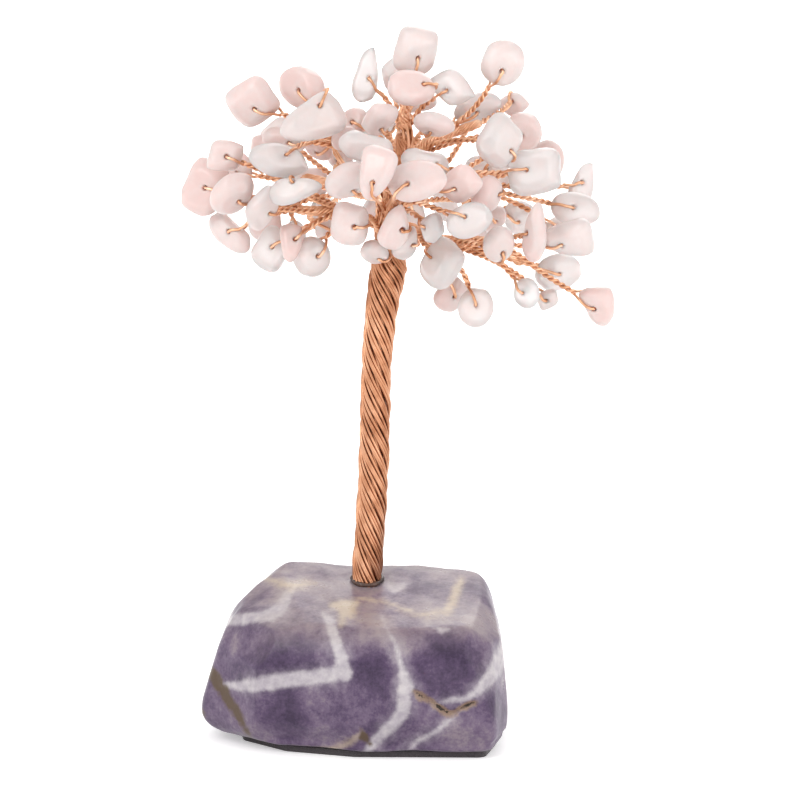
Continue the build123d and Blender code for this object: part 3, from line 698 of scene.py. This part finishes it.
# %% Rope maker
def rope(line, radii, strands, lay):
    """Lines and radii of a rope's wires: strands laid to the left, and a core."""
    along, across, over = carried_frames(line)
    run = runs_along(line)
    lines = []
    for k in range(strands):
        turn = 2 * math.pi * (k / strands - run / lay)
        out = np.cos(turn)[:, None] * across + np.sin(turn)[:, None] * over
        wander = 0.05 * np.sin(run / 2.3 + 2.1 * k)
        lines.append(line + out * np.maximum(radii - WIRE_RADIUS + wander, 0.12)[:, None])
    return lines + [line], [WIRE_RADIUS] * strands + [np.maximum(radii - 1.6 * WIRE_RADIUS, 0.1)]


# %% Leader
leader_line = centre_line(cad_solids("leader_rope")[0], 1.45, 0.3)
if leader_line[0][2] > leader_line[-1][2]:
    leader_line = leader_line[::-1]
leader_radii = 1.28 + 0.92 * (1 - np.linspace(0, 1, len(leader_line))) ** 3
make_piece(
    "leader_strands", wire_mesh(*rope(leader_line, leader_radii, 13, 13.0)), copper, "trunk",
    ["leader_rope"],
)
print("leader:", round(float(runs_along(leader_line)[-1]), 1), "mm")

# %% [markdown]
# Each bough's middle line is turned to run outwards from its hinge. Its rope starts a little inside
# the leader's side and ends drawn in, where the last wires part. The bough pieces are made after the
# twigs, because some twigs add their roots to them.

# %% Bough lines
JOINT_PLACES = {joint["child"]: np.array(joint["pos_m"]) / MM for joint in frame["joints"]}
PARENTS = {joint["child"]: joint["parent"] for joint in frame["joints"]}
ROOT_OVERLAP = 0.4

carriers = {"trunk": (leader_line, leader_radii)}
bough_wires = {}
for body in BODIES:
    if body + "_bough" not in frame["nodes"]:
        continue
    line = centre_line(cad_solids(body + "_bough")[0], 0.95, 0.3)
    if np.linalg.norm(line[0] - JOINT_PLACES[body]) > np.linalg.norm(line[-1] - JOINT_PLACES[body]):
        line = line[::-1]
    line = np.concatenate([[line[0] - unit(line[2] - line[0]) * ROOT_OVERLAP], line])
    radii = 1.12 - 0.36 * np.linspace(0, 1, len(line))
    radii[-4:] *= (0.92, 0.8, 0.62, 0.4)
    carriers[body] = (line, radii)
    bough_wires[body] = rope(line, radii, 8, 6.0)
print("boughs:", len(bough_wires))


# %% [markdown]
# At each fork some of the leader's wires sweep out into the bough. They stay with the leader and end
# at the hinge, so they hide the gap that the CAD model leaves there for bending. A wire that has to
# leave in one direction and arrive in another follows a cubic curve between the two.

# %% Forks
ROOT_WIRES = 6
ROOT_RISE = 5.0


def cubic(start, start_way, end, end_way):
    """Points of a smooth curve between two places, in given directions there."""
    length = np.linalg.norm(end - start)
    share = np.linspace(0, 1, max(6, int(length / 0.2)))[:, None]
    rise = share**2 * (3 - 2 * share)
    leaving = share * (1 - share) ** 2 * length
    arriving = share**2 * (share - 1) * length
    return start + (end - start) * rise + start_way * leaving + end_way * arriving


leader_along, leader_across, leader_over = carried_frames(leader_line)
root_lines = []
for body in bough_wires:
    line, radii = carriers[body]
    heading = unit(line[3] - line[0])
    nearest = int(np.argmin(np.linalg.norm(leader_line - line[0], axis=1)))
    low = max(0, nearest - round(ROOT_RISE / 0.3))
    upward = leader_along[nearest]
    aside = heading - upward * heading.dot(upward)
    aside = unit(aside) if np.linalg.norm(aside) > 0.3 else leader_across[nearest]
    beside = np.cross(upward, aside)
    rim = unit(np.cross(heading, beside)) if abs(heading.dot(beside)) < 0.9 else upward
    for k in range(ROOT_WIRES):
        turn = 2 * math.pi * (k + 0.5) / ROOT_WIRES
        spread = 1.1 * math.sin(turn)
        start_out = unit(aside * math.cos(spread) + beside * math.sin(spread))
        start = leader_line[low] + start_out * (leader_radii[low] - 0.1)
        end_out = rim * math.cos(turn) + beside * math.sin(turn)
        end = line[1] + end_out * (radii[1] - WIRE_RADIUS)
        root_lines.append(cubic(start, leader_along[low], end, heading))
make_piece("fork_wires", wire_mesh(root_lines, [WIRE_RADIUS] * len(root_lines)), fine_copper, "trunk")
print("fork wires:", len(root_lines))


# %% [markdown]
# ## Twisted twigs
#
# Every twig is one wire: out along the twig, through the chip's hole and back again, with the two legs
# twisted together. The CAD solid gives the wire's line with its legs side by side. The legs are wound
# round their middle here, the loop is pulled down onto the chip's face, and a lead joins the twig to
# its bough.

# %% Twig shaping
TWIST = 2.3
LEG_GAP = 0.85
END_POINTS = 6


def bent_lead(line, radii, start, way):
    """A smooth lead out of a bough's side to a twig's start."""
    nearest = int(np.argmin(np.linalg.norm(line - start, axis=1)))
    back = max(0, nearest - 8)
    first = line[back] + unit(start - line[nearest]) * (radii[back] - 0.1)
    heading = unit(line[min(nearest + 1, len(line) - 1)] - line[max(nearest - 1, 0)])
    return cubic(first, heading, start, way)


def pair_lines(middle, last_out):
    """Two lines wound round a middle line, so that the first ends towards last_out."""
    along, across, over = carried_frames(middle)
    run = runs_along(middle)
    turn = math.atan2(last_out.dot(over[-1]), last_out.dot(across[-1])) + 2 * math.pi * (run[-1] - run) / TWIST
    out = (np.cos(turn)[:, None] * across + np.sin(turn)[:, None] * over) * (WIRE_RADIUS + 0.01)
    return middle + out, middle - out


# %% [markdown]
# A point of the loop is in the hole when it sees stone close by on three sides or more. A ray cast
# finds that out. All other points that are near the chip are laid onto its surface.

# %% Loop on the chip
SIGHT = 1.0
LOOP_LEAD = 1.2


def onto_stone(loop, surface):
    """A loop's points moved to lie on the chip, apart from those in its hole."""
    along, across, over = carried_frames(loop)
    moved = loop.copy()
    for n, point in enumerate(loop):
        place = Vector(point * MM)
        ways = (across[n], -across[n], over[n], -over[n])
        walls = sum(surface.ray_cast(place, Vector(way), SIGHT * MM)[0] is not None for way in ways)
        spot, normal, face, gap = surface.find_nearest(place)
        if walls < 3 and gap < 1.3 * MM:
            pull = min(1.0, min(n, len(loop) - 1 - n) * 0.15 / LOOP_LEAD)
            moved[n] += pull * (np.array(spot / MM + normal * (WIRE_RADIUS + 0.03)) - point)
    for _ in range(5):
        moved[1:-1] = 0.5 * moved[1:-1] + 0.25 * (moved[:-2] + moved[2:])
    return moved


def twisted_wire(solid, carrier):
    """Points of a twig's leads out and back, and of the rest of its wire."""
    wire = centre_line(solid, WIRE_RADIUS, 0.15)
    legs = len(wire) // 2
    out_leg, back_leg = wire[:legs], wire[::-1][:legs]
    gaps = np.linalg.norm(out_leg[:, None] - back_leg[None], axis=2)
    neck = END_POINTS + int(np.argmax(gaps.min(1)[END_POINTS:] > LEG_GAP))
    beside = gaps[:neck].argmin(1)
    middle = resample((out_leg[:neck] + back_leg[beside]) / 2, 0.15)
    loop = wire[neck:len(wire) - beside[-1] - 1]
    chip = int(np.argmin(np.linalg.norm(chip_middles - loop.mean(0), axis=1)))
    lead = bent_lead(*carriers[carrier], middle[0], unit(middle[2] - middle[0]))
    out, back = pair_lines(np.concatenate([lead[:-1], middle]), wire[neck - 1] - middle[-1])
    split = len(lead) - 1
    leads = [out[:split + 1], back[:split + 1]]
    rest = np.concatenate([out[split:], onto_stone(loop, chip_surfaces[chip]), back[split:][::-1]])
    return leads, rest


# %% [markdown]
# The leads of a twig that bends by itself stay on its bough, and the twig starts at its hinge. The
# other twigs and their leads move together, so their leads join the bough's wires as well.

# %% Make the twigs
twig_leads = {body: [] for body in carriers}
twig_total = 0
for body, nodes in BODIES.items():
    for node in nodes:
        if "_twig" not in node:
            continue
        carrier = body if body in carriers else PARENTS[body]
        lines = []
        for solid in cad_solids(node):
            leads, rest = twisted_wire(solid, carrier)
            twig_leads[carrier] += leads
            lines.append(rest)
        make_piece(node + "_twisted", wire_mesh(lines, [WIRE_RADIUS] * len(lines)), fine_copper, body, [node])
        twig_total += len(lines)
print("twigs:", twig_total)

# %% Make the boughs
for body, (lines, radii) in bough_wires.items():
    leads = twig_leads[body]
    mesh = wire_mesh(lines + leads, radii + [WIRE_RADIUS] * len(leads))
    make_piece(body + "_rope", mesh, fine_copper, body, [body + "_bough"])
leads = twig_leads["trunk"]
make_piece("leader_leads", wire_mesh(leads, [WIRE_RADIUS] * len(leads)), fine_copper, "trunk")
print("bough pieces:", len(bough_wires))

# %% [markdown]
# ## The stone
#
# The base is chevron amethyst: purple quartz with white bands that run through the block as sheets.
# A sheet that is seen edge-on is a line, so the bands are given as a few corners of lines in the
# picture's plane: millimetres across, and up as seen from the camera's height. Every point of the stone
# is looked at along that same sight, so a band goes on over the top and through to the back.

# %% Lines in the stone
WHITE_BANDS = (
    ((-5.2, 20.2, 0.2), (-4.0, 18.8, 0.8), (-3.1, 15.8, 0.9), (-2.2, 12.6, 1.0), (-1.6, 9.9, 1.2)),
    ((-1.7, 10.2, 1.2), (-8.1, 9.5, 1.1), (-13.5, 8.8, 1.2), (-18.9, 8.2, 1.0), (-22.5, 7.9, 0.4)),
    ((-9.6, 25.0, 0.0), (-11.0, 23.8, 0.8), (-11.9, 21.7, 1.0), (-14.2, 20.1, 1.1), (-20.3, 19.0, 0.9)),
    ((-20.3, 19.0, 0.9), (-26.0, 18.6, 0.2)),
    ((4.6, 20.2, -0.1), (5.1, 19.2, 0.1), (6.7, 15.6, 0.2), (8.0, 11.3, 0.35), (9.3, 7.6, 1.2)),
    ((8.9, 7.8, 1.1), (8.5, 3.8, 1.1), (6.5, 1.3, 1.0), (4.0, -1.5, 0.8), (1.6, -4.3, 0.4)),
    ((26.4, 17.0, 0.7), (25.7, 15.3, 0.9), (23.9, 10.6, 1.0), (22.1, 7.8, 0.8), (19.4, 6.2, 0.3)),
    ((19.4, 6.2, 0.3), (16.5, 6.0, 0.2), (14.0, 5.0, -0.2)),
    ((17.2, 3.0, -0.2), (15.8, 2.0, 0.3), (14.0, 0.2, 0.4), (10.8, -1.5, 0.2), (8.6, -4.0, -0.2)),
    ((4.6, 25.6, -0.1), (6.8, 24.7, 0.8), (9.6, 25.4, -0.1)),
    ((12.4, 18.6, -0.2), (14.6, 17.6, 0.4), (17.4, 17.9, -0.2)),
)
RUST_LINES = (
    ((-24.6, 10.6, 0.8), (-23.4, 8.4, 1.0), (-21.4, 4.9, 0.9), (-19.3, 1.6, 0.6), (-16.6, -3.0, 0.2)),
    ((-27.0, 2.9, 1.1), (-26.0, 2.5, 0.8)),
    ((1.2, 0.6, 0.1), (1.7, -0.8, 0.7), (3.0, -2.2, 0.2)),
)
SAND_LINES = (
    ((-0.3, 22.6, 0.1), (4.4, 22.3, 0.2), (8.0, 21.1, 0.15), (11.5, 20.3, 0.2), (16.2, 20.5, 0.3)),
    ((18.6, 25.6, 0.5), (17.7, 23.8, 0.9), (16.6, 21.0, 0.8)),
    ((-3.4, 21.8, 0.6), (-1.0, 21.2, 1.6), (0.8, 22.2, 0.4)),
    ((-1.6, 20.6, 1.2), (-2.0, 18.6, 0.3)),
    ((-15.3, 26.0, 0.1), (-10.6, 24.6, 0.5), (-6.6, 25.2, 0.0)),
    ((-12.8, -3.0, 0.1), (-4.9, -3.3, 0.6), (-0.4, -1.6, 0.4), (1.4, 0.2, 0.1)),
)
CRACK = ((10.6, 6.9, 0.1), (12.0, 6.0, 0.25), (13.6, 5.3, 0.1), (15.2, 4.1, 0.3), (16.6, 3.5, 0.15))
CRACK_END = ((16.6, 3.5, 0.15), (18.3, 4.5, 0.0), (19.4, 4.9, 0.2), (20.5, 5.2, 0.05))
DEEP_PLACES = (
    (-9.5, 13.0, 4.5), (-14.5, 12.6, 4.0), (-19.0, 11.4, 2.6), (15.2, 8.6, 3.2), (13.2, 12.0, 3.4),
    (17.6, 11.6, 3.4), (20.4, 10.6, 2.4), (16.4, 15.0, 3.4), (3.0, 12.4, 2.8), (4.6, 7.6, 2.8),
    (-10.0, 1.5, 3.5), (-3.0, 2.5, 3.0), (3.7, 1.7, 1.2), (8.4, -2.4, 1.8), (24.0, 4.6, 2.2),
)
PALE_PLACES = (
    (20.4, -1.6, 4.0), (16.6, 0.2, 2.4), (4.0, 24.0, 5.0), (-12.0, 25.0, 4.0), (3.4, 17.6, 2.6),
    (-8.0, 5.6, 2.6), (-20.0, 15.4, 2.6), (13.4, 18.4, 3.0), (20.0, 17.6, 3.0), (-18.0, -1.0, 3.0),
)


def band_distance(where, bands):
    """Distance of each place from the edge of the nearest band, less than zero inside one."""
    best = np.full(len(where), np.inf)
    for corners in bands:
        for start, end in zip(np.array(corners[:-1], float), np.array(corners[1:], float)):
            along = (end - start)[:2]
            share = np.clip((where - start[:2]) @ along / (along @ along), 0, 1)
            nearest = start + share[:, None] * (end - start)
            best = np.minimum(best, np.linalg.norm(where - nearest[:, :2], axis=1) - nearest[:, 2])
    return best


def patches(where, places):
    """Soft round patches, 1 in the middle of each."""
    return sum(np.exp(-np.sum((where - (x, up)) ** 2, 1) / reach**2) for x, up, reach in places)


# %% [markdown]
# The block itself is remeshed and smoothed, which rounds its edges as polishing does. Noise hollows it
# a little, and the open crack at the front right is pressed in as a groove. The distances from the
# bands are stored on the mesh, for the material to read.

# %% Shape the stone
SIGHT_MIDDLE = AIM.y / MM
TOP_TILT = math.radians(11.5)
PLUG_RADIUS = 4.4
PLUG_DEPTH = 14.0
GLUE_RISE = 1.6
glue_box = [np.array(corner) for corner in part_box("epoxy_collar")]
TRUNK_FOOT = Vector((*((glue_box[0] + glue_box[1]) / 2)[:2], glue_box[1][2] - GLUE_RISE * MM))
BACK_EDGE = ((-24.0, 0.0), (-18.5, 0.3), (-15.5, 2.2), (-12.0, 1.1), (-9.5, 0.0), (-3.0, -1.3), (12.6, -1.3), (21.0, -2.4))
BACK_START = 3.0
BACK_DEPTH = 7.0
RUST_DEPTH = 1.0
RUST_FADE = 0.3
STONE_FLATS = 22
FLAT_DEPTH = 1.0
BOTTOM_MARGIN = 2.0


def sight_places(points, wobble):
    """Where points lie in the picture's plane, waved a little so that no band is quite straight."""
    height = points[:, 2] * math.cos(CAMERA_RISE) + (points[:, 1] - SIGHT_MIDDLE) * math.sin(CAMERA_RISE)
    return np.stack([points[:, 0], height], 1) + wobble


points, normals, neighbours, faces = cad_solids("base_stone")[0]
plug_size = {"radius1": PLUG_RADIUS * MM, "radius2": PLUG_RADIUS * MM, "depth": PLUG_DEPTH * MM}
plug_place = Matrix.Translation(TRUNK_FOOT) @ Matrix.Rotation(TOP_TILT, 4, "X")
plug_place = plug_place @ Matrix.Translation((0, 0, -PLUG_DEPTH * MM / 2))
bm = remeshed(points, faces, 0.42, {**plug_size, "matrix": plug_place})
stone_middle = Vector(points.mean(0) * MM)
for k in range(STONE_FLATS):
    way = noise.noise_vector(Vector((1.37, 2.91, 0.53)) * (k + 1.0)).normalized()
    limit = max((vert.co - stone_middle).dot(way) for vert in bm.verts) - FLAT_DEPTH * MM
    for vert in bm.verts:
        over = (vert.co - stone_middle).dot(way) - limit
        if over > 0 and vert.co.z > BOTTOM_MARGIN * MM:
            vert.co -= way * over * 0.8
edge_places, edge_rises = zip(*BACK_EDGE)
for vert in bm.verts:
    behind = min(max((vert.co.y - TRUNK_FOOT.y) / MM - BACK_START, 0.0) / BACK_DEPTH, 1.0)
    share = behind * behind * (3 - 2 * behind) * min(max(vert.co.z / MM - 10.0, 0.0) / 10.0, 1.0)
    vert.co.z += share * float(np.interp(vert.co.x / MM, edge_places, edge_rises)) * MM
soften(bm, 4)
stone_points = np.array([vert.co for vert in bm.verts]) / MM
wobble = np.array([noise.noise_vector(vert.co / (9.0 * MM))[:2] for vert in bm.verts]) * 0.7
where = sight_places(stone_points, wobble)
crack = np.where(stone_points[:, 1] < 0, band_distance(where, (CRACK, CRACK_END)), 9.0)
for vert, crack_gap in zip(bm.verts, crack):
    hollow = 0.22 + 0.32 * noise.noise(vert.co / (9.0 * MM)) + 0.07 * noise.noise(vert.co / (2.4 * MM))
    groove = 0.8 * math.exp(-(max(crack_gap, 0.0) / 0.35) ** 2)
    vert.co -= vert.normal * ((max(hollow, 0.0) + groove) * MM)
bm.normal_update()
stone_normals = np.array([vert.normal for vert in bm.verts])
stone_mesh = bpy.data.meshes.new("stone")
bm.to_mesh(stone_mesh)
bm.free()
for name, values in (
    ("band", band_distance(where, WHITE_BANDS)),
    ("rust", band_distance(where, RUST_LINES) + np.maximum(stone_points[:, 1] - RUST_DEPTH, 0) * RUST_FADE),
    ("sand", band_distance(where, SAND_LINES)),
    ("crack", crack),
    ("deep", np.minimum(patches(where, DEEP_PLACES), 1.0) - patches(where, PALE_PLACES)),
    ("upward", stone_normals[:, 2]),
):
    layer = stone_mesh.attributes.new(name, "FLOAT", "POINT")
    layer.data.foreach_set("value", values.astype(np.float32))
print("stone faces:", len(stone_mesh.polygons))

# %% [markdown]
# The material reads those distances in millimetres. Adding noise to a distance before it is cut off
# makes an edge ragged, and cutting it off slowly makes it soft. The purple is deepest in a few patches,
# and clouds of noise break it up. A pale haze lies along the white bands.

# %% Amethyst
amethyst, tree, surface = new_material("chevron_amethyst")
cloud = grain(tree, 105.0, 5.0, 0.62)
fine = calculate(tree, "SUBTRACT", grain(tree, 620.0, 5.0, 0.65), 0.5)
flecks = calculate(tree, "SUBTRACT", grain(tree, 1900.0, 3.0, 0.6), 0.5)
streaks = calculate(tree, "SUBTRACT", grain(tree, 330.0, 4.0, 0.6, tall=5.0), 0.5)
depth = calculate(tree, "MULTIPLY_ADD", painted(tree, "deep"), 0.16, cloud)
for speckle, amount in ((fine, 0.50), (flecks, 0.40), (streaks, 0.40)):
    depth = calculate(tree, "MULTIPLY_ADD", speckle, amount, depth)
purple = ramp(
    tree,
    depth,
    (0.24, (0.245, 0.195, 0.235)),
    (0.44, (0.150, 0.105, 0.172)),
    (0.62, (0.084, 0.051, 0.108)),
    (0.86, (0.036, 0.019, 0.052)),
)
milk = ramp(tree, calculate(tree, "ADD", cloud, fine), (0.30, (0.60, 0.565, 0.575)), (0.70, (0.40, 0.36, 0.405)))
edge = calculate(tree, "MULTIPLY_ADD", fine, 0.8, painted(tree, "band"))
misty = calculate(tree, "MULTIPLY_ADD", calculate(tree, "SUBTRACT", cloud, 0.5), 6.0, edge)
halo = calculate(tree, "SUBTRACT", 1.0, between(tree, misty, -0.6, 2.0))
stone_colour = mix_colour(tree, calculate(tree, "MULTIPLY", halo, 0.26), purple, milk)
white_share = calculate(tree, "SUBTRACT", 1.0, between(tree, edge, -0.50, 0.55))
stone_colour = mix_colour(tree, calculate(tree, "MULTIPLY", white_share, 0.90), stone_colour, milk)
# Painted light: faces that point upwards are paled towards a warm grey, as if lit from above.
facing_up = between(tree, painted(tree, "upward"), 0.25, 1.0)
painted_top_light = calculate(tree, "MULTIPLY", facing_up, ramp(tree, cloud, (0.38, 0.60), (0.62, 0.15)))
stone_colour = mix_colour(tree, painted_top_light, stone_colour, (0.37, 0.305, 0.285))
print("bands painted")

# %% [markdown]
# Iron stains a natural block. Sandy and rusty streaks come over the purple in the same way as the
# bands, and the crack has golden lips. Its floor is painted near black as shade.

# %% Stains, painted crack shade and polish
for name, soft, strength, colour in (
    ("sand", 0.8, 0.62, (0.57, 0.46, 0.315)),
    ("rust", 0.45, 0.95, (0.085, 0.050, 0.024)),
):
    edge = calculate(tree, "MULTIPLY_ADD", fine, 1.8, painted(tree, name))
    share = calculate(tree, "SUBTRACT", 1.0, between(tree, edge, -soft, soft))
    stone_colour = mix_colour(tree, calculate(tree, "MULTIPLY", share, strength), stone_colour, colour)
split = calculate(tree, "MULTIPLY_ADD", fine, 1.5, painted(tree, "crack"))
lips = calculate(tree, "SUBTRACT", 1.0, between(tree, split, 0.10, 0.75))
stone_colour = mix_colour(tree, calculate(tree, "MULTIPLY", lips, 0.7), stone_colour, (0.36, 0.24, 0.14))
# Painted shade: the floor of the crack is coloured near black.
painted_crack_shade = calculate(tree, "SUBTRACT", 1.0, between(tree, split, -0.12, 0.16))
stone_colour = mix_colour(tree, painted_crack_shade, stone_colour, (0.03, 0.018, 0.012))
tree.links.new(stone_colour, surface.inputs["Base Color"])
tree.links.new(ramp(tree, cloud, (0.3, 0.24), (0.7, 0.40)), surface.inputs["Roughness"])
surface.inputs["Specular IOR Level"].default_value = 0.3
surface.inputs["IOR"].default_value = 1.54
surface.inputs["Subsurface Weight"].default_value = 0.12
surface.inputs["Subsurface Radius"].default_value = (0.8, 0.6, 1.0)
surface.inputs["Subsurface Scale"].default_value = 1.2 * MM
relief(tree, surface, grain(tree, 900.0, 5.0, 0.6), 0.22, 0.25)
make_piece("amethyst_block", stone_mesh, amethyst, "trunk", ["base_stone"])

# %% [markdown]
# The glue was runny before it set, and only an uneven bead of it shows round the foot of the trunk. A
# bead is a thick short wire, so the wire maker makes it: a ring that leans as the stone's top does,
# with a radius that swells and thins.

# %% Glue bead
BEAD_RING = 2.5
BEAD_RADIUS = 0.40
BEAD_POINTS = 90

turns = np.linspace(0, 2 * math.pi, BEAD_POINTS)
bead_line = np.stack(
    [np.cos(turns), np.sin(turns) * math.cos(TOP_TILT), np.sin(turns) * math.sin(TOP_TILT)], 1
) * BEAD_RING + np.array(TRUNK_FOOT) / MM
uneven = np.array([noise.noise(Vector((math.cos(turn), math.sin(turn), 0.3)) * 2.2) for turn in turns])
bead = make_piece(
    "glue_bead", wire_mesh([bead_line], [BEAD_RADIUS * (1 + 0.45 * uneven)]), glue, "trunk", ["epoxy_collar"]
)
print("glue faces:", len(bead.data.polygons))

# %% [markdown]
# ## Floor
#
# The floor is a plain pale sheet that takes the tree's soft shadow. A glow that only seen rays meet
# lifts it to the white of the backdrop. Far from the tree the glow is full, so no horizon shows.

# %% Floor
floor_material, tree, surface = new_material("pale_floor")
surface.inputs["Base Color"].default_value = (0.93, 0.93, 0.93, 1)
surface.inputs["Roughness"].default_value = 0.8
where = tree.nodes.new("ShaderNodeTexCoord")
far = tree.nodes.new("ShaderNodeVectorMath")
far.operation = "LENGTH"
tree.links.new(where.outputs["Object"], far.inputs[0])
glow = calculate(tree, "MULTIPLY_ADD", between(tree, far.outputs["Value"], 0.15, 0.8), 0.8, 0.35)
tree.links.new(calculate(tree, "MULTIPLY", glow, seen_rays(tree)), surface.inputs["Emission Strength"])
surface.inputs["Emission Color"].default_value = (1, 1, 1, 1)
bm = bmesh.new()
bmesh.ops.create_grid(bm, x_segments=2, y_segments=2, size=3.0)
floor_mesh = bpy.data.meshes.new("floor")
bm.to_mesh(floor_mesh)
bm.free()
floor_mesh.materials.append(floor_material)
floor = bpy.data.objects.new("floor", floor_mesh)
bpy.context.collection.objects.link(floor)
